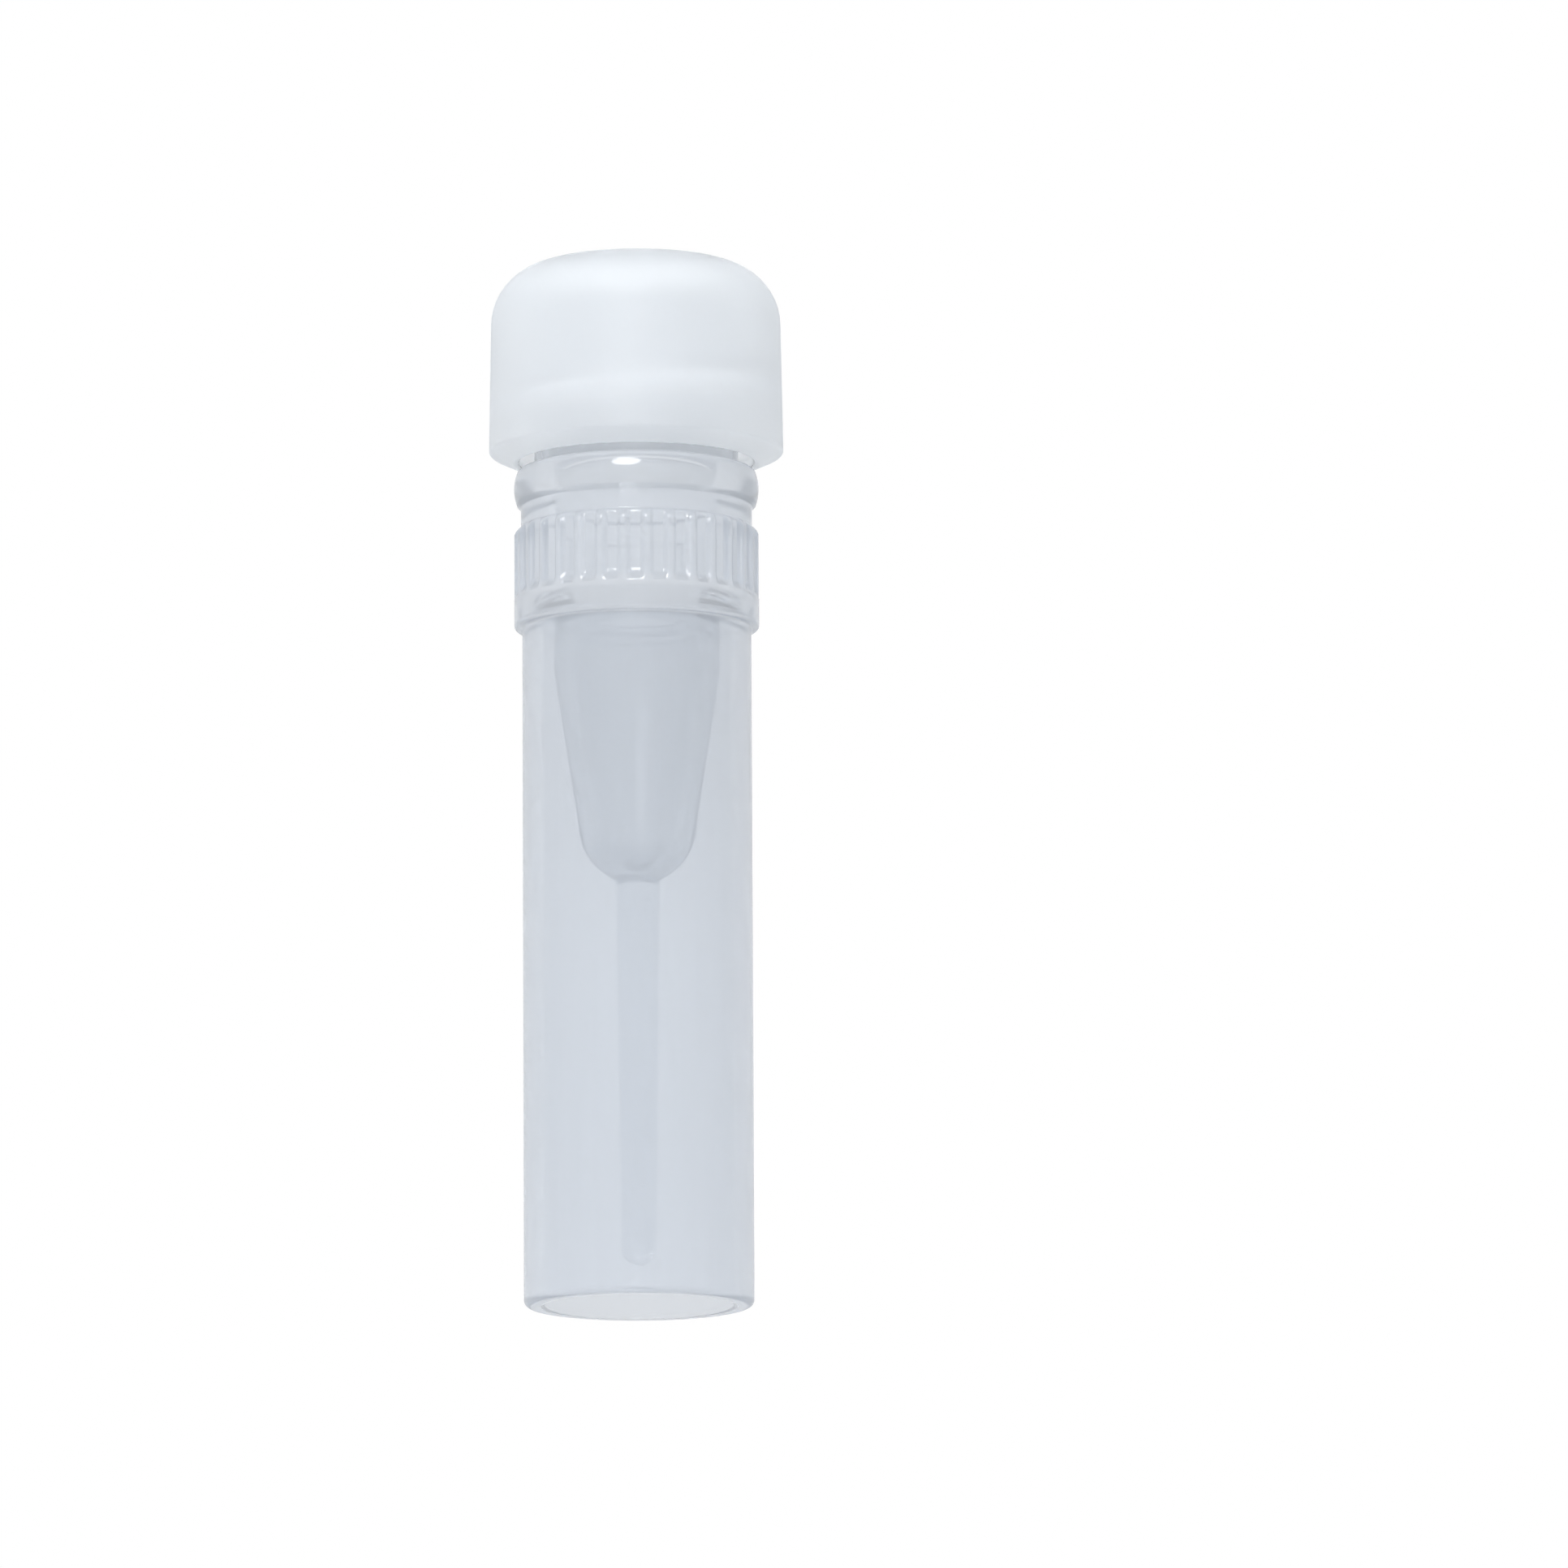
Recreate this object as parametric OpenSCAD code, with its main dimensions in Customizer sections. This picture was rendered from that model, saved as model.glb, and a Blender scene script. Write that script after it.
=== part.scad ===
// Free-standing screw-cap vial: a long skirt stands on its lower edge, and a round-bottomed
// well hangs inside it. The cap screws on to the neck and squeezes a seal ring on the mouth.
// The origin is the centre of the foot, with +Z along the vial's axis.

/* [Skirt] */
// Outside diameter of the skirt that the vial stands on
skirt_d = 10.1; // [8.4:0.1:12.1]
// Wall of the skirt
skirt_wall = 0.9; // [0.7:0.05:1.1]
// Height of the skirt, from the foot to the collar
skirt_h = 30.1; // [25:0.1:37]
// Rounding of the foot's outside edge
foot_round = 0.3; // [0.1:0.05:0.45]

/* [Collar] */
// Amount that the grip collar stands out from the skirt
collar_out = 0.35; // [0.3:0.05:1]
// Height of the grip collar
collar_h = 4.5; // [3.7:0.1:6]
// Length of the grip ribs, down from the collar's top
rib_l = 3; // [1.5:0.1:3.6]
// Number of grip ribs around the collar
rib_count = 32; // [20:1:36]
// Height that the grip ribs stand out
rib_depth = 0.2; // [0.1:0.01:0.3]
// How far each round rib would stand past the collar, where it is cut back flat
rib_flat = 0.025; // [0.02:0.005:0.1]
// Bevel of the grip ribs' upper ends
rib_bevel = 0.35; // [0.1:0.05:0.45]
// Bevel of the collar's lower edge
collar_bevel = 0.15; // [0.05:0.05:0.25]

/* [Neck] */
// Diameter of the bore in the neck
bore_d = 7.2; // [6:0.1:8.7]
// Wall of the neck at the root of its thread
neck_wall = 0.9; // [0.7:0.05:1.1]
// Height of the neck, from the bead to the mouth
neck_h = 7; // [5.8:0.1:9]
// Amount that the bead stands out from the neck
bead_out = 0.9; // [0.8:0.05:1.2]
// Height of the bead
bead_h = 1.7; // [1:0.1:2.5]
// Bevel of the bead's edges
bead_bevel = 0.3; // [0.1:0.05:0.45]
// Amount that the plain shoulder is set back from the bead
shoulder_in = 0.3; // [0.1:0.05:0.6]
// Height of the plain shoulder, from the collar to the bead
shoulder_h = 0.9; // [0.5:0.1:1.5]
// Bevel of the mouth's edges
mouth_bevel = 0.15; // [0.05:0.05:0.25]

/* [Well] */
// Depth of the well below the collar
well_depth = 11.4; // [10:0.1:20]
// Outside radius of the well's round bottom
well_r = 2.6; // [2.1:0.1:3.1]
// Gap between the skirt and the well above its taper
well_gap = 0.5; // [0.4:0.05:0.8]
// Wall of the well
well_wall = 0.9; // [0.7:0.05:1.1]
// Height of the well's tapered stretch
taper_h = 6.8; // [5:0.1:7.3]
// Height of the web that joins the well to the skirt
web_h = 4; // [3.3:0.1:4.4]
// Height of the step where the neck's bore narrows to the well's
step_h = 1.5; // [0.5:0.1:2]

/* [Stem] */
// Diameter of the gate stem where it leaves the well
stem_top_d = 1.9; // [1.5:0.1:2.4]
// Diameter of the gate stem at its tip
stem_tip_d = 1.5; // [1:0.1:1.8]
// Height of the stem's tip above the foot
stem_z = 1.8; // [0.5:0.1:4]

/* [Thread] */
// Rise of the thread in one turn
lead = 2.5; // [2:0.1:3]
// Height that a thread stands out of its wall
thread_depth = 0.5; // [0.4:0.05:0.6]
// Radial clearance between each thread's crest and the wall opposite
thread_clear = 0.2; // [0.15:0.01:0.25]
// Turns of each thread
thread_turns = 1.5; // [1:0.1:1.8]
// Width of a thread at its root
thread_root_w = 1; // [0.7:0.05:1.2]
// Width of a thread at its crest
thread_crest_w = 0.45; // [0.3:0.05:0.55]
// Height of the mouth above the end of the neck's thread
thread_drop = 0.5; // [0.3:0.1:1]

/* [Cap] */
// Wall of the cap at its lower edge, behind the thread
cap_wall = 1.3; // [1:0.1:2]
// Amount that the cap's side draws in towards the top, each side
cap_draft = 0.1; // [0:0.01:0.3]
// Rounding of the cap's upper edge
cap_round = 2.7; // [1:0.1:3.3]
// Thickness of the cap's top
cap_top = 1.2; // [1:0.1:2]
// Bevel between the cap's ceiling and its inner wall
ceiling_bevel = 0.5; // [0.2:0.1:0.6]
// Depth of the conical lip under the cap
lip_h = 0.5; // [0.2:0.1:0.8]
// Width of the lip's flat lower edge
lip_w = 0.2; // [0.1:0.05:0.5]
// Gap between the closed cap and the bead
cap_gap = 0.3; // [0.2:0.1:1]
// Length of the plug that hangs from the cap's ceiling into the mouth
plug_l = 1.8; // [1.5:0.1:3]
// Wall of the hollow plug
plug_wall = 0.8; // [0.6:0.1:1.2]
// Radial clearance between the plug and the bore
plug_clear = 0.1; // [0.05:0.01:0.15]

/* [Seal] */
// Thickness of the squeezed seal ring
ring_t = 1; // [0.8:0.1:1.2]
// Gap left above and below the seal ring
ring_clear = 0.01; // [0.005:0.005:0.02]
// Gap between the seal ring and the plug that it fits around
ring_gap = 0.05; // [0.02:0.01:0.1]

/* [Hidden] */
$fn = 96;

natural = [0.80, 0.83, 0.87, 0.6];
milky = [0.92, 0.94, 0.97, 0.8];
silicone = [0.95, 0.95, 0.93];

// Two solids that join run this far into each other.
sunk = 0.2;

skirt_r = skirt_d / 2;
gap_r = skirt_r - skirt_wall;
collar_r = skirt_r + collar_out;
collar_z = skirt_h + collar_h;
band_z = collar_z - rib_l;
gap_z = collar_z - web_h;

bore_r = bore_d / 2;
neck_r = bore_r + neck_wall;
bead_r = neck_r + bead_out;
shoulder_r = bead_r - shoulder_in;
shoulder_z = collar_z + shoulder_h;
bead_z = shoulder_z + bead_h;
mouth_z = bead_z + neck_h;

well_mid_z = skirt_h - well_depth + well_r;
well_top_r = gap_r - well_gap;
taper_z = well_mid_z + taper_h;

crest_r = neck_r + thread_depth;
cap_bore_r = crest_r + thread_clear;
cap_foot_r = cap_bore_r + cap_wall;
cap_head_r = cap_foot_r - cap_draft;
lip_z = bead_z + cap_gap;
ceiling_z = mouth_z + ring_t + 2 * ring_clear;
cap_z = ceiling_z + cap_top;
plug_r = bore_r - plug_clear;

// Each thread is a chain of four-sided sections, sunk into its wall and fading out at both ends.
turn_steps = 36;
thread_steps = round(thread_turns * turn_steps);
fade_steps = 6;
thread_z = mouth_z - thread_drop - thread_root_w / 2 - thread_turns * lead;

function fade(k) = min(1, (k + 1) / fade_steps, (thread_steps + 1 - k) / fade_steps);

// Section k of a thread whose wall has radius wall_r and whose crest points along way (1 or -1).
function section(k, wall_r, way, start_z) =
    let (a = 360 * k / turn_steps,
         z = start_z + lead * k / turn_steps,
         root = wall_r - way * sunk,
         crest = root + way * (thread_depth + sunk) * fade(k),
         outline = [[root, -thread_root_w], [crest, -thread_crest_w],
                    [crest, thread_crest_w], [root, thread_root_w]])
    [for (p = outline) [p[0] * cos(a), p[0] * sin(a), z + p[1] / 2]];

module thread(wall_r, way, start_z) {
    points = [for (k = [0 : thread_steps]) each section(k, wall_r, way, start_z)];
    sides = [for (k = [0 : thread_steps - 1], i = [0 : 3])
        let (j = (i + 1) % 4)
        [4 * k + j, 4 * k + 4 + j, 4 * k + 4 + i, 4 * k + i]];
    last = 4 * thread_steps;
    faces = concat(sides, [[3, 2, 1, 0], [last, last + 1, last + 2, last + 3]]);
    // A crest that points inwards turns every face inside out, so its corners are read backwards.
    polyhedron(points, [for (f = faces) way > 0 ? f : [f[3], f[2], f[1], f[0]]], convexity = 6);
}

// A disc or ring turned from a radius and two heights, with its edges bevelled.
module turned(r, z0, z1, low = 0, high = 0) {
    rotate_extrude()
        polygon([[0, z0], [r - low, z0], [r, z0 + low], [r, z1 - high], [r - high, z1], [0, z1]]);
}

module skirt() {
    rotate_extrude() {
        difference() {
            square([skirt_r, collar_z]);
            square([gap_r, gap_z]);
            translate([skirt_r - foot_round, 0]) square(foot_round);
        }
        translate([skirt_r - foot_round, foot_round]) circle(foot_round);
    }
}

module collar() {
    turned(collar_r, skirt_h, band_z, low = collar_bevel);
    turned(collar_r - rib_depth, skirt_h + sunk, collar_z);
    intersection() {
        turned(collar_r, skirt_h, collar_z, high = rib_bevel);
        for (i = [0 : rib_count - 1])
            rotate((i + 0.5) * 360 / rib_count)
                translate([collar_r - rib_depth, 0, band_z - sunk])
                    cylinder(r = rib_depth + rib_flat, h = rib_l + 2 * sunk, $fn = 32);
    }
}

module neck() {
    turned(shoulder_r, collar_z - sunk, shoulder_z + sunk);
    turned(bead_r, shoulder_z, bead_z, low = bead_bevel, high = bead_bevel);
    turned(neck_r, bead_z - sunk, mouth_z, high = mouth_bevel);
}

// A solid with a round bottom, a tapered stretch and a straight stretch above.
module well(bottom_r, top_r, top_z) {
    translate([0, 0, well_mid_z]) sphere(bottom_r);
    rotate_extrude()
        polygon([[0, well_mid_z], [bottom_r, well_mid_z], [top_r, taper_z],
                 [top_r, top_z], [0, top_z]]);
}

module bore() {
    inner_r = well_top_r - well_wall;
    lead_in_r = bore_r + mouth_bevel;
    above_z = mouth_z + 1;
    well(well_r - well_wall, inner_r, skirt_h + sunk);
    rotate_extrude()
        polygon([[0, skirt_h], [inner_r, skirt_h], [bore_r, skirt_h + step_h],
                 [bore_r, mouth_z - mouth_bevel], [lead_in_r, mouth_z],
                 [lead_in_r, above_z], [0, above_z]]);
}

module stem() {
    tip_r = stem_tip_d / 2;
    tip_z = stem_z + tip_r;
    translate([0, 0, tip_z]) {
        sphere(tip_r);
        cylinder(r1 = tip_r, r2 = stem_top_d / 2, h = well_mid_z - well_r + well_wall / 2 - tip_z);
    }
}

module vial_body() {
    color(natural)
    difference() {
        union() {
            skirt();
            collar();
            neck();
            well(well_r, well_top_r, collar_z - sunk);
            stem();
            thread(neck_r, 1, thread_z);
        }
        bore();
    }
}

module cap_shell() {
    side_z = cap_z - cap_round;
    arc_r = cap_head_r - cap_round;
    rotate_extrude() {
        polygon([[0, lip_z], [cap_bore_r + lip_w, lip_z], [cap_foot_r, lip_z + lip_h],
                 [cap_head_r, side_z], [arc_r, side_z], [arc_r, cap_z], [0, cap_z]]);
        translate([arc_r, side_z]) circle(cap_round);
    }
}

module plug() {
    difference() {
        turned(plug_r, ceiling_z - plug_l, ceiling_z + sunk, low = 0.2);
        translate([0, 0, ceiling_z - plug_l - 1]) cylinder(r = plug_r - plug_wall, h = plug_l + 1);
    }
}

module screw_cap() {
    color(milky) {
        difference() {
            cap_shell();
            turned(cap_bore_r, lip_z - 1, ceiling_z, high = ceiling_bevel);
        }
        plug();
        thread(cap_bore_r, -1, thread_z - lead / 2);
    }
}

module seal_ring() {
    color(silicone)
    translate([0, 0, mouth_z + ring_clear + ring_t / 2])
        rotate_extrude() translate([plug_r + ring_gap + ring_t / 2, 0]) circle(d = ring_t);
}

vial_body();
screw_cap();
seal_ring();
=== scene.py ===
import math

import bmesh
import bpy
from mathutils import Matrix, Vector


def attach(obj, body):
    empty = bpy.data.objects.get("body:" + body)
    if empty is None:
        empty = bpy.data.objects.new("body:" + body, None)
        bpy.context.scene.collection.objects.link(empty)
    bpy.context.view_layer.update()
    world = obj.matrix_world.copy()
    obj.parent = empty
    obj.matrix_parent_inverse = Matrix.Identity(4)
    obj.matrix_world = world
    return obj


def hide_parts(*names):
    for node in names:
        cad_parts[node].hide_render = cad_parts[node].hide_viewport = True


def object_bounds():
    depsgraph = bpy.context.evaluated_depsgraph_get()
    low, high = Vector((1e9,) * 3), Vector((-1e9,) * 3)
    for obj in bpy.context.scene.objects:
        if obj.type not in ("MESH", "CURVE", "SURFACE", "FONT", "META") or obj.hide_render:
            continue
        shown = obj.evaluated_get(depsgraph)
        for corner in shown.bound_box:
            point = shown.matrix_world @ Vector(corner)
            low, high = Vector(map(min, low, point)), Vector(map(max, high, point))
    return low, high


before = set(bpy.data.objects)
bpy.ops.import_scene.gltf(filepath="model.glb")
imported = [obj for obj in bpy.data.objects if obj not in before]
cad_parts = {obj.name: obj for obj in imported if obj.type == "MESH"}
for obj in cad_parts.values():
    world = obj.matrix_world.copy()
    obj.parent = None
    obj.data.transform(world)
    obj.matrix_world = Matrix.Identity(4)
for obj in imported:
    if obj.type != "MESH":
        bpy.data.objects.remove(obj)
cad_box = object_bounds()
MM = 0.001

# ---------------------------------------------------------------- Camera
# The vial is seen from a little below, through a long lens. The camera is rolled by a fraction of
# a degree, and the vial stands left of the view's middle.

foot, top = cad_box[0][2], cad_box[1][2]
aim_drop = 0.06 * MM
middle = Vector((0, 0, (foot + top) / 2 - aim_drop))
view_rise = math.radians(9.5)
view_roll = math.radians(0.3)
view_distance = 650 * MM
view_width = 69.0 * MM
aside = 6.45 * MM

camera_data = bpy.data.cameras.new("camera")
camera_data.sensor_width = 36
camera_data.lens = camera_data.sensor_width * view_distance / view_width
camera_data.clip_start = 10 * MM
camera = bpy.data.objects.new("camera", camera_data)
bpy.context.collection.objects.link(camera)
camera.location = middle + view_distance * Vector((0, -math.cos(view_rise), -math.sin(view_rise)))
camera.location.x += aside
camera.rotation_euler = (Matrix.Rotation(math.pi / 2 + view_rise, 3, "X")
                         @ Matrix.Rotation(-view_roll, 3, "Z")).to_euler()
bpy.context.scene.camera = camera


# ---------------------------------------------------------------- Vial body
# One injection moulding in natural polypropylene: the long skirt that it stands on, the ribbed
# grip collar, the shoulder and bead, the threaded neck, and the round-bottomed well with its gate
# stem, which hangs inside the skirt. It is turned about its axis, so one outline is spun.

# The sizes of the solids, and the heights and radii that follow from them, in millimetres.
skirt_r, skirt_wall, skirt_h = 5.05, 0.9, 30.1
collar_r, collar_h = 5.4, 4.5
rib_l, rib_count, rib_depth, rib_flat = 3.0, 32, 0.2, 0.025
bore_r, neck_wall, neck_h = 3.6, 0.9, 7.0
bead_out, bead_h, shoulder_in, shoulder_h = 0.9, 1.7, 0.3, 0.9
well_depth, well_r, well_gap, well_wall, taper_h, web_h, step_h = 11.4, 2.6, 0.5, 0.9, 6.8, 4.0, 1.5
stem_top_r, stem_tip_r, stem_z = 0.95, 0.75, 1.8
lead, thread_depth, thread_turns, thread_drop = 2.5, 0.5, 1.5, 0.5
thread_root_w, thread_crest_w = 1.0, 0.45

collar_z = skirt_h + collar_h
shoulder_z = collar_z + shoulder_h
bead_z = shoulder_z + bead_h
mouth_z = bead_z + neck_h
neck_r = bore_r + neck_wall
bead_r = neck_r + bead_out
shoulder_r = bead_r - shoulder_in
well_mid_z = skirt_h - well_depth + well_r
well_bore_r = well_r - well_wall
taper_z = well_mid_z + taper_h
skirt_bore_r = skirt_r - skirt_wall
well_top_r = skirt_bore_r - well_gap
inner_r = well_top_r - well_wall
stem_top_z = well_mid_z - math.sqrt(well_r ** 2 - stem_top_r ** 2)
gap_z = collar_z - web_h
band_z = collar_z - rib_l
thread_z = mouth_z - thread_drop - thread_root_w / 2 - thread_turns * lead

# What the visual mesh adds: roundings, the bead's barrelled face, the ribs' run-out and bevel, the
# thread's soft ends, and how closely the rows of points are set. A point within near of a wall
# lies on it.
taper_round, web_round, step_round = 2.0, 0.2, 0.8
foot_round, foot_inner_round, fine_round, edge_round, mouth_round = 0.3, 0.15, 0.1, 0.15, 0.2
bead_crown, bead_arc, bead_top_in = 2.0, 0.36, 0.3
rib_fade, rib_top_drop, rib_row_gap, steps_per_rib = 0.2, 0.35, 0.15, 12
rib_bevel = (0.06, 0.22), (0.16, 0.1), (0.24, 0.03)
end_slope, end_start = 6, 0.15
thread_margin, mouth_margin, row_guard, thread_row_gap = 0.65, 0.5, 0.05, 0.11
stem_join, stem_tip_gap, stem_top_gap = 0.06, 0.01, 0.1
arc_steps, well_steps = 12, 16
tiny, near = 0.001, 0.01

# How hazy the plastic is and how white its haze, in pairs, and the margins that bound each zone.
# On the neck and inside, the haze is painted pale: painted light that lifts the shade there.
rib_milk, collar_milk, neck_milk_painted_pale = (0.5, 0.4), (0.5, 0.65), (0.3, 1.0)
core_milk_painted_pale, gate_mark_and_painted_glint_milk = (0.18, 1.0), (0.4, 1.0)
skirt_haze, skirt_white = 0.5, 0.12
core_edge, neck_edge, skirt_edge, bead_edge, gate_drop = 0.15, 0.05, 0.1, 0.2, 1.0


def spaced(low, high, count):
    """Values from low to high, in even steps."""
    return [low + (high - low) * k / count for k in range(count + 1)]


def clamped(value):
    """A value kept from 0 to 1."""
    return min(max(value, 0), 1)


def eased(share):
    """A share from 0 to 1 that starts and ends gently."""
    return share * share * (3 - 2 * share)


def softened(corners, steps=5, guard=0.06):
    """An outline of (radius, height, rounding) corners, with each corner made an arc and a
    point set close to both ends of each straight stretch, so that it shades as straight."""
    points = []
    for i, (r, z, rounding) in enumerate(corners):
        here = Vector((r, z))
        if not rounding:
            points.append(here)
            continue
        back = (Vector(corners[i - 1][:2]) - here).normalized()
        on = (Vector(corners[i + 1][:2]) - here).normalized()
        half = back.angle(on) / 2
        reach = rounding / math.tan(half)
        centre = here + (back + on).normalized() * rounding / math.sin(half)
        start, end = here + back * reach - centre, here + on * reach - centre
        sweep = start.angle_signed(end)
        points += [centre + Matrix.Rotation(-sweep * k / steps, 2) @ start
                   for k in range(steps + 1)]
    outline = [points[0]]
    for a, b in zip(points, points[1:]):
        gap = (b - a).length
        if gap > 4 * guard:
            outline += [a.lerp(b, guard / gap), a.lerp(b, 1 - guard / gap)]
        outline.append(b)
    return outline


def dense(low, high, r, gap):
    """Points up a straight wall, closely spaced."""
    count = max(2, round((high - low) / gap))
    return [Vector((r, z)) for z in spaced(low, high, count)]


def turned(outline, steps, closed=False):
    """Spins an outline of (radius, height) points, in millimetres, about the Z axis."""
    bm = bmesh.new()
    row = [bm.verts.new((r * MM, 0, z * MM)) for r, z in outline]
    edges = [bm.edges.new(pair) for pair in zip(row, row[1:] + row[:1] if closed else row[1:])]
    bmesh.ops.spin(bm, geom=row + edges, axis=(0, 0, 1), cent=(0, 0, 0), angle=math.tau,
                   steps=steps, use_merge=True)
    bmesh.ops.remove_doubles(bm, verts=bm.verts, dist=tiny * MM)
    bmesh.ops.recalc_face_normals(bm, faces=bm.faces)
    return bm


def pushed_out(vert, amount):
    """Moves a vertex away from the axis by an amount in millimetres."""
    r = math.hypot(vert.co.x, vert.co.y)
    vert.co.x *= 1 + amount * MM / r
    vert.co.y *= 1 + amount * MM / r


def helix_height(x, y, z, start_z):
    """How far a point's height is above the nearest turn of a thread, and how far along that
    thread it is, in turns."""
    turn = math.atan2(y, x) / math.tau % 1
    along = (z - start_z) / lead
    nearest = round(along - turn) + turn
    nearest = min(max(nearest, turn), turn + math.floor(thread_turns - turn))
    return z - start_z - lead * nearest, nearest


def thread_rise(x, y, z, start_z):
    """The height of a thread at a point on its wall: a ridge with sloped sides and soft ends."""
    off, along = helix_height(x, y, z, start_z)
    side = (thread_root_w / 2 - abs(off)) / ((thread_root_w - thread_crest_w) / 2)
    ends = min(along, thread_turns - along) * end_slope + end_start
    return thread_depth * eased(clamped(side)) * clamped(ends)


def set_milk(bm, rule):
    """Writes on every vertex how hazy and how white the plastic looks there, by a rule of its
    place in millimetres."""
    for name in ("haze", "white"):
        bm.verts.layers.float.new(name)
    haze, white = bm.verts.layers.float["haze"], bm.verts.layers.float["white"]
    for vert in bm.verts:
        vert[haze], vert[white] = rule(*(vert.co / MM))


def finished(bm, name):
    """Turns a bmesh into a smooth-shaded object."""
    mesh = bpy.data.meshes.new(name)
    for face in bm.faces:
        face.smooth = True
    bm.to_mesh(mesh)
    bm.free()
    piece = bpy.data.objects.new(name, mesh)
    bpy.context.collection.objects.link(piece)
    return piece


def vial_milk(x, y, z):
    """Hazy outside, whiter upwards and where the collar and bead are thick. Inside and on the neck
    there is less haze, painted pale to lift the shade there, and more of it on the well's bottom
    over the gate, a whiter patch that is partly a gate mark and partly a painted highlight."""
    if math.hypot(x, y) < skirt_bore_r + core_edge:
        # Over the gate the haze is thicker and white: partly a gate mark, partly a painted
        # highlight.
        return gate_mark_and_painted_glint_milk if stem_top_z < z < well_mid_z - gate_drop else core_milk_painted_pale
    if z > bead_z - neck_edge:
        return neck_milk_painted_pale
    if z < skirt_h - skirt_edge:
        return skirt_haze, skirt_white * z / skirt_h
    return collar_milk if z < band_z or z > shoulder_z + bead_edge else rib_milk


quarter = spaced(0, math.pi / 2, arc_steps)
stem_tip = [Vector((stem_tip_r * math.sin(a), stem_z + stem_tip_r * (1 - math.cos(a))))
            for a in quarter]
stem_side = softened([
    (stem_tip_r, stem_z + stem_tip_r + stem_tip_gap, 0),
    (stem_top_r, stem_top_z - stem_top_gap, 0)])
stem_edge = math.asin(stem_top_r / well_r) + stem_join
outer_bottom = [Vector((well_r * math.sin(a), well_mid_z - well_r * math.cos(a)))
                for a in spaced(stem_edge, math.pi / 2, well_steps)]
below_collar = softened([
    (well_r, well_mid_z, 0), (well_top_r, taper_z, taper_round),
    (well_top_r, gap_z, web_round), (skirt_bore_r, gap_z, web_round),
    (skirt_bore_r, 0, foot_inner_round), (skirt_r, 0, foot_round),
    (skirt_r, skirt_h, fine_round), (collar_r, skirt_h, edge_round),
    (collar_r, band_z - rib_fade, 0)])
rib_rows = dense(band_z - rib_fade, collar_z - rib_top_drop, collar_r, rib_row_gap)
bevel_rows = [Vector((collar_r - inward, collar_z - down)) for inward, down in rib_bevel]
bead_face = [(bead_r - bead_crown * (1 - math.cos(a)),
              (shoulder_z + bead_z) / 2 + bead_crown * math.sin(a), 0)
             for a in spaced(-bead_arc, bead_arc, arc_steps)]
above_ribs = softened([
    (shoulder_r, collar_z, 0), (shoulder_r, shoulder_z, fine_round), *bead_face,
    (bead_r - bead_top_in, bead_z, fine_round), (neck_r, bead_z, edge_round),
    (neck_r, thread_z - thread_margin - row_guard, 0)])
thread_rows = dense(thread_z - thread_margin, mouth_z - mouth_margin, neck_r, thread_row_gap)
mouth = softened([
    (neck_r, mouth_z - mouth_margin + row_guard, 0), (neck_r, mouth_z, mouth_round),
    (bore_r, mouth_z, mouth_round), (bore_r, skirt_h + step_h, step_round),
    (inner_r, skirt_h, step_round), (inner_r, taper_z, taper_round),
    (well_bore_r, well_mid_z, 0)])
inner_bottom = [Vector((well_bore_r * math.cos(a), well_mid_z - well_bore_r * math.sin(a)))
                for a in quarter]
outline = (stem_tip + stem_side + outer_bottom + below_collar[1:] + rib_rows[1:] + bevel_rows
           + above_ribs + thread_rows + mouth + inner_bottom[1:])
bm = turned(outline, rib_count * steps_per_rib)

groove_r = collar_r - rib_depth
rib_step = math.tau / rib_count
for vert in bm.verts:
    x, y, z = vert.co / MM
    r = math.hypot(x, y)
    if band_z - rib_fade < z <= collar_z + tiny and r > groove_r:
        beside = (math.atan2(y, x) / rib_step % 1 - 0.5) * rib_step * groove_r
        rib = min(1, math.sqrt(max(0, (rib_depth + rib_flat) ** 2 - beside ** 2)) / rib_depth)
        grown = min(1, (z - band_z + rib_fade) / (2 * rib_fade))
        pushed_out(vert, (groove_r - r) * (1 - rib) * grown)
    elif abs(r - neck_r) < near and z > bead_z:
        pushed_out(vert, thread_rise(x, y, z, thread_z))

set_milk(bm, vial_milk)
vial_body = finished(bm, "vial_body_moulding")
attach(vial_body, "vial")
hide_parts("vial_body")


class Value:
    """A shader socket that takes part in sums: each operator adds the Math node that it names."""

    def __init__(self, tree, socket):
        self.tree, self.socket = tree, socket

    def maths(self, operation, *values):
        return node(self.tree, "ShaderNodeMath", {"operation": operation}, dict(enumerate(values)))

    def __add__(self, other): return self.maths("ADD", self, other)
    def __radd__(self, other): return self.maths("ADD", other, self)
    def __sub__(self, other): return self.maths("SUBTRACT", self, other)
    def __rsub__(self, other): return self.maths("SUBTRACT", other, self)
    def __mul__(self, other): return self.maths("MULTIPLY", self, other)
    def __rmul__(self, other): return self.maths("MULTIPLY", other, self)


def node(tree, kind, settings={}, sockets={}, output=0):
    """Adds a node, sets its settings and then its sockets, and gives one output as a Value."""
    made = tree.nodes.new(kind)
    for name, value in settings.items():
        setattr(made, name, value)
    for name, value in sockets.items():
        if isinstance(value, Value):
            tree.links.new(value.socket, made.inputs[name])
        else:
            made.inputs[name].default_value = value
    return Value(tree, made.outputs[output]) if made.outputs else None


def blend(tree, share, first, second):
    """Mixes two colours. The Mix node's colour sockets are its inputs 6 and 7 and output 2."""
    return node(tree, "ShaderNodeMix", {"data_type": "RGBA"},
                {"Factor": share, 6: first, 7: second}, output=2)


def emptied(owner):
    """The node tree of a material or world, with nothing in it yet."""
    owner.use_nodes = True
    owner.node_tree.nodes.clear()
    return owner.node_tree


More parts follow.
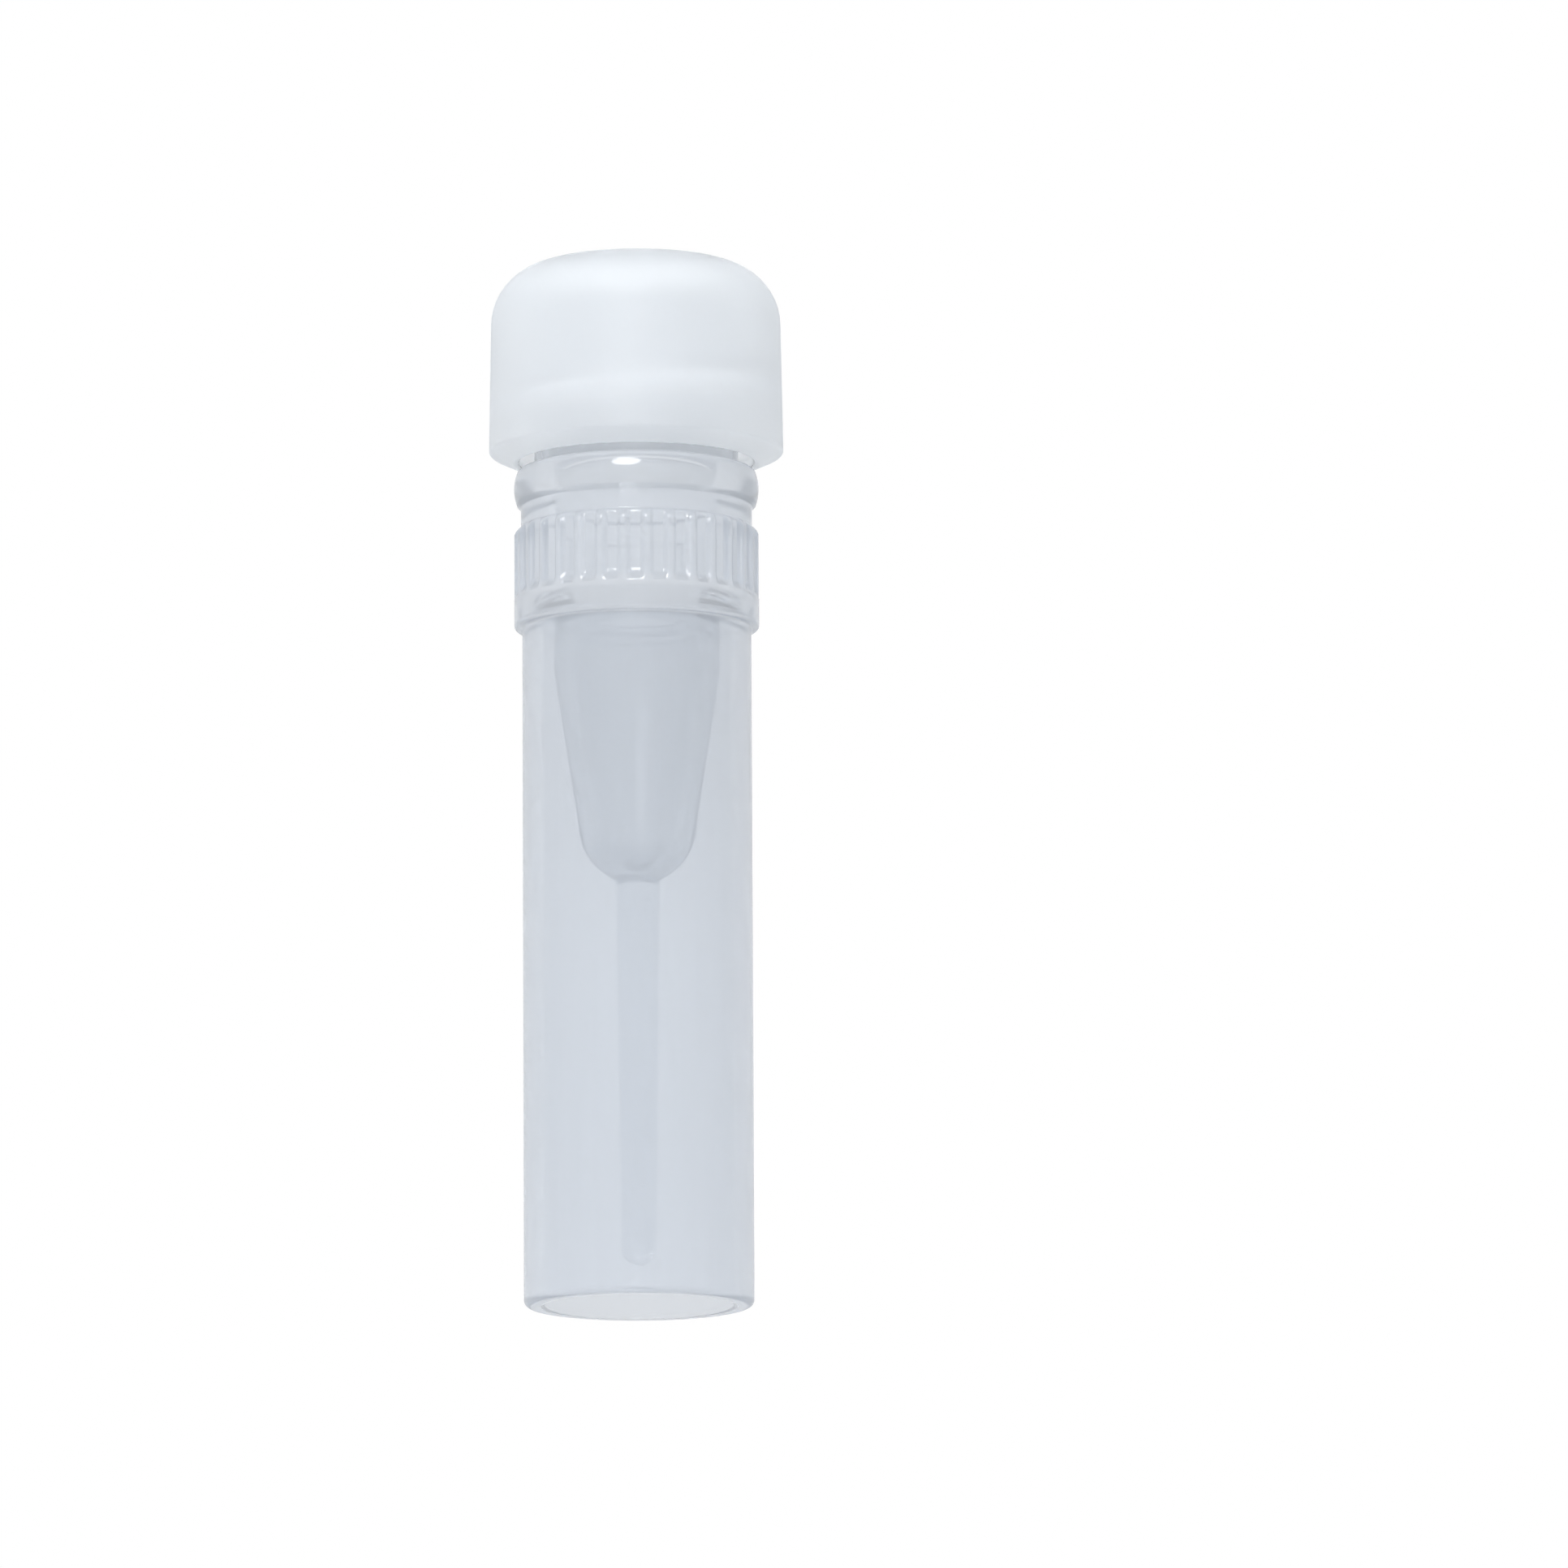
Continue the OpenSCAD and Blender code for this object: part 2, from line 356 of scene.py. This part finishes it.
def polypropylene(name, light, dark, veil, tint, tinge, glow, gloss, matt):
    """Translucent moulded polypropylene: clear plastic (tint, gloss) under the haze that the mesh
    carries (light to dark, matt), of which the share glow passes light on in the veil's colour.
    The haze has cloudy patches and faint upright streaks where the melt flowed, and the skin a
    fine soft grain. Thick plastic takes on the tinge."""
    ior, white_milk, absorption = 1.49, (0.95, 0.965, 0.98, 1), 100.0
    cloud_haze, streak_haze, cloud_rough = 0.05, 0.03, 0.06
    material = bpy.data.materials.new(name)
    tree = emptied(material)
    place = node(tree, "ShaderNodeTexCoord", output="Object")
    stretched = node(tree, "ShaderNodeMapping", {}, {"Vector": place, "Scale": (1, 1, 0.25)})
    cloud = node(tree, "ShaderNodeTexNoise", {}, {"Vector": stretched, "Scale": 260, "Detail": 3})
    grain = node(tree, "ShaderNodeTexNoise", {}, {"Vector": place, "Scale": 5200, "Detail": 2})
    flow = node(tree, "ShaderNodeMapping", {}, {"Vector": place, "Scale": (1, 1, 0.06)})
    streak = node(tree, "ShaderNodeTexNoise", {}, {"Vector": flow, "Scale": 900, "Detail": 2})
    white = node(tree, "ShaderNodeAttribute", {"attribute_name": "white"}, output="Fac")
    colour = blend(tree, white, blend(tree, cloud, (*dark, 1), (*light, 1)), white_milk)
    relief = cloud * 0.5 + streak * 0.3 + grain * 0.2
    bump = node(tree, "ShaderNodeBump", {}, {
        "Height": relief, "Strength": 0.1, "Distance": 0.03 * MM})
    milk = node(tree, "ShaderNodeBsdfPrincipled", {}, {
        "Base Color": colour, "Roughness": matt - cloud_rough / 2 + cloud * cloud_rough,
        "IOR": ior, "Normal": bump})
    clear = node(tree, "ShaderNodeBsdfPrincipled", {}, {
        "Base Color": (*tint, 1), "Roughness": gloss, "IOR": ior, "Transmission Weight": 1.0,
        "Normal": bump})
    haze = node(tree, "ShaderNodeAttribute", {"attribute_name": "haze"}, output="Fac")
    share = haze - (cloud_haze + streak_haze) / 2 + cloud * cloud_haze + streak * streak_haze
    through = node(tree, "ShaderNodeBsdfTranslucent", {}, {"Color": (*veil, 1), "Normal": bump})
    fog = node(tree, "ShaderNodeMixShader", {}, {0: glow, 1: milk, 2: through})
    skin = node(tree, "ShaderNodeMixShader", {}, {0: share, 1: clear, 2: fog})
    depth = node(tree, "ShaderNodeVolumeAbsorption", {}, {
        "Color": (*tinge, 1), "Density": absorption})
    node(tree, "ShaderNodeOutputMaterial", {}, {"Surface": skin, "Volume": depth})
    return material


vial_body.data.materials.append(polypropylene(
    "natural_polypropylene", light=(0.715, 0.77, 0.85), dark=(0.69, 0.745, 0.83),
    veil=(0.76, 0.805, 0.865), tint=(0.985, 0.99, 0.996), tinge=(0.75, 0.795, 0.86),
    glow=0.5, gloss=0.0, matt=0.15))


# ---------------------------------------------------------------- Screw cap
# A separate moulding in milkier polypropylene: smooth, drawn in slightly towards the top, with a
# wide rounding there and a conical lip below. Its thread runs on the neck's, half a turn's rise
# lower, and a short plug enters the mouth.

thread_clear, cap_wall, cap_draft, cap_round, cap_top = 0.2, 1.3, 0.1, 2.7, 1.2
lip_h, lip_w, cap_gap, ring_t, ring_clear = 0.5, 0.2, 0.3, 1.0, 0.01
plug_l, plug_wall, plug_clear = 1.8, 0.8, 0.1

ceiling_z = mouth_z + ring_t + 2 * ring_clear
cap_bore_r = neck_r + thread_depth + thread_clear
cap_foot_r = cap_bore_r + cap_wall
cap_head_r = cap_foot_r - cap_draft
crown_r = cap_head_r - cap_round
lip_z = bead_z + cap_gap
cap_z = ceiling_z + cap_top
side_foot_z = lip_z + lip_h
side_top_z = cap_z - cap_round
plug_r = bore_r - plug_clear
plug_bore_r = plug_r - plug_wall
plug_z = ceiling_z - plug_l
cap_thread_z = thread_z - lead / 2
cap_rows_z = cap_thread_z - thread_margin

ceiling_bevel, ceiling_round, plug_round = 0.25, 0.4, 0.2
crown_guard, cap_row_gap, side_rows, cap_steps = 0.3, 0.1, 24, 240
cap_haze, cap_lip_haze, cap_core_haze, lip_fade = 0.82, 0.5, 0.12, 3.0
crown_clear, crown_fade, crown_edge, thread_band, inside_edge = 0.3, 1.6, 0.6, 0.12, 0.05


def cap_milk(x, y, z):
    """Milky outside, clearer towards the thin lip, round the top edge and on the inside, with
    faint bands where the thread thickens the wall."""
    r = math.hypot(x, y)
    if r < cap_bore_r + inside_edge and z < ceiling_z + inside_edge:
        return cap_core_haze, 0
    band = thread_band * (thread_rise(x, y, z, cap_thread_z) / thread_depth - 1)
    up = eased(clamped((z - lip_z) / lip_fade))
    crown = clamped((z - cap_z) / crown_fade + 1) * clamped((r - crown_r) / crown_edge)
    return cap_lip_haze + (cap_haze - cap_lip_haze + band) * up - crown_clear * crown, 0


cap_crown = [Vector((0, cap_z)), Vector((crown_r - crown_guard, cap_z))] + [
    Vector((crown_r + cap_round * math.sin(a), side_top_z + cap_round * math.cos(a)))
    for a in quarter[:-1]]
cap_side = [(cap_foot_r - cap_draft * up, side_foot_z + (side_top_z - side_foot_z) * up, 0)
            for up in reversed(spaced(0, 1, side_rows)[1:])]
cap_outside = softened([
    *cap_side, (cap_foot_r, side_foot_z, edge_round), (cap_bore_r + lip_w, lip_z, fine_round),
    (cap_bore_r, lip_z, fine_round), (cap_bore_r, cap_rows_z, 0)])
cap_inside = dense(cap_rows_z, cap_thread_z + thread_turns * lead + thread_margin, cap_bore_r,
                   cap_row_gap)
cap_ceiling = softened([
    (cap_bore_r, cap_inside[-1].y, 0), (cap_bore_r, ceiling_z - ceiling_bevel, ceiling_round),
    (cap_bore_r - ceiling_bevel, ceiling_z, ceiling_round), (plug_r, ceiling_z, fine_round),
    (plug_r, plug_z, plug_round), (plug_bore_r, plug_z, plug_round),
    (plug_bore_r, ceiling_z, plug_round), (0, ceiling_z, 0)])
bm = turned(cap_crown + cap_outside + cap_inside[1:] + cap_ceiling[1:], cap_steps)
for vert in bm.verts:
    x, y, z = vert.co / MM
    if abs(math.hypot(x, y) - cap_bore_r) < near:
        pushed_out(vert, -thread_rise(x, y, z, cap_thread_z))

set_milk(bm, cap_milk)
screw_cap = finished(bm, "screw_cap_moulding")
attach(screw_cap, "cap")
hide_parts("screw_cap")
screw_cap.data.materials.append(polypropylene(
    "milky_polypropylene", light=(0.935, 0.967, 1.0), dark=(0.915, 0.952, 0.997),
    veil=(0.92, 0.96, 1.0), tint=(0.99, 0.995, 0.999), tinge=(0.99, 0.995, 1.0),
    glow=0.5, gloss=0.4, matt=0.75))


# ---------------------------------------------------------------- Seal ring
# A moulded ring of soft silicone, squeezed between the mouth of the vial and the cap's ceiling.
# The cap hides it, so it is made plain white and slightly matt, not translucent.

ring_r = ring_t / 2
ring_mid_r = (bore_r + neck_r) / 2
ring_z = mouth_z + ring_clear + ring_r
ring_sides, ring_steps = 24, 120
section = [Vector((ring_mid_r + ring_r * math.cos(a), ring_z + ring_r * math.sin(a)))
           for a in spaced(0, math.tau, ring_sides)[:-1]]
seal_ring = finished(turned(section, ring_steps, closed=True), "seal_ring_moulding")
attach(seal_ring, "seal")
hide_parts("seal_ring")


def silicone(name, light, dark):
    """Soft white silicone: matt, faintly mottled, with a fine skin."""
    material = bpy.data.materials.new(name)
    tree = emptied(material)
    place = node(tree, "ShaderNodeTexCoord", output="Object")
    mottle = node(tree, "ShaderNodeTexNoise", {}, {"Vector": place, "Scale": 1500, "Detail": 3})
    colour = blend(tree, mottle, (*dark, 1), (*light, 1))
    bump = node(tree, "ShaderNodeBump", {}, {
        "Height": mottle, "Strength": 0.3, "Distance": 0.01 * MM})
    shine = node(tree, "ShaderNodeBsdfPrincipled", {}, {
        "Base Color": colour, "Roughness": 0.45 + mottle * 0.15, "IOR": 1.41, "Normal": bump})
    node(tree, "ShaderNodeOutputMaterial", {}, {"Surface": shine})
    return material


seal_ring.data.materials.append(silicone("white_silicone", (0.90, 0.90, 0.88), (0.86, 0.86, 0.84)))


# ---------------------------------------------------------------- Floor, world and lamps
# A plain pale floor that shows only from above and passes some light, white surroundings, and two
# soft studio lamps: one in front and one under the floor.

floor_size, pale, see_through = 0.6, (0.86, 0.86, 0.86, 1), 0.5
bm = bmesh.new()
bmesh.ops.create_grid(bm, x_segments=1, y_segments=1, size=floor_size)
floor = finished(bm, "floor")
floor_material = bpy.data.materials.new("pale_floor")
tree = emptied(floor_material)
paint = node(tree, "ShaderNodeBsdfPrincipled", {}, {"Base Color": pale, "Roughness": 0.7})
lit = node(tree, "ShaderNodeBsdfTranslucent", {}, {"Color": pale})
sheet = node(tree, "ShaderNodeMixShader", {}, {0: see_through, 1: paint, 2: lit})
open_side = node(tree, "ShaderNodeBsdfTransparent")
backing = node(tree, "ShaderNodeNewGeometry", output="Backfacing")
seen = node(tree, "ShaderNodeMixShader", {}, {0: backing, 1: sheet, 2: open_side})
node(tree, "ShaderNodeOutputMaterial", {}, {"Surface": seen})
floor.data.materials.append(floor_material)

# The surroundings are white where they are seen, mirrored or seen through the plastic, and a
# little dimmer as light.
ambient = 0.8
world = bpy.data.worlds.new("studio")
tree = emptied(world)
path = tree.nodes.new("ShaderNodeLightPath")
straight = (Value(tree, path.outputs["Is Camera Ray"]) + Value(tree, path.outputs["Is Glossy Ray"])
            + Value(tree, path.outputs["Is Transmission Ray"]))
shown = node(tree, "ShaderNodeMath", {"operation": "MINIMUM"}, {0: straight, 1: 1.0})
level = ambient + shown * (1 - ambient)
sky = node(tree, "ShaderNodeBackground", {}, {"Color": (1, 1, 1, 1), "Strength": level})
node(tree, "ShaderNodeOutputWorld", {}, {"Surface": sky})
bpy.context.scene.world = world


def softbox(name, at, size, watts, colour=(1, 1, 1)):
    """An oval area lamp that faces the middle of the vial."""
    data = bpy.data.lights.new(name, "AREA")
    data.shape, (data.size, data.size_y) = "ELLIPSE", size
    data.energy, data.color = watts, colour
    lamp = bpy.data.objects.new(name, data)
    bpy.context.collection.objects.link(lamp)
    lamp.location = at
    lamp.rotation_euler = (middle - Vector(at)).to_track_quat("-Z", "Y").to_euler()


softbox("front_lamp", (-0.065, -0.39, 0.24), (0.20, 0.16), 1.12)
softbox("table_lamp", (-0.02, -0.06, -0.25), (0.30, 0.30), 0.3, (1, 0.94, 0.87))

bpy.context.scene.view_settings.view_transform = "Standard"
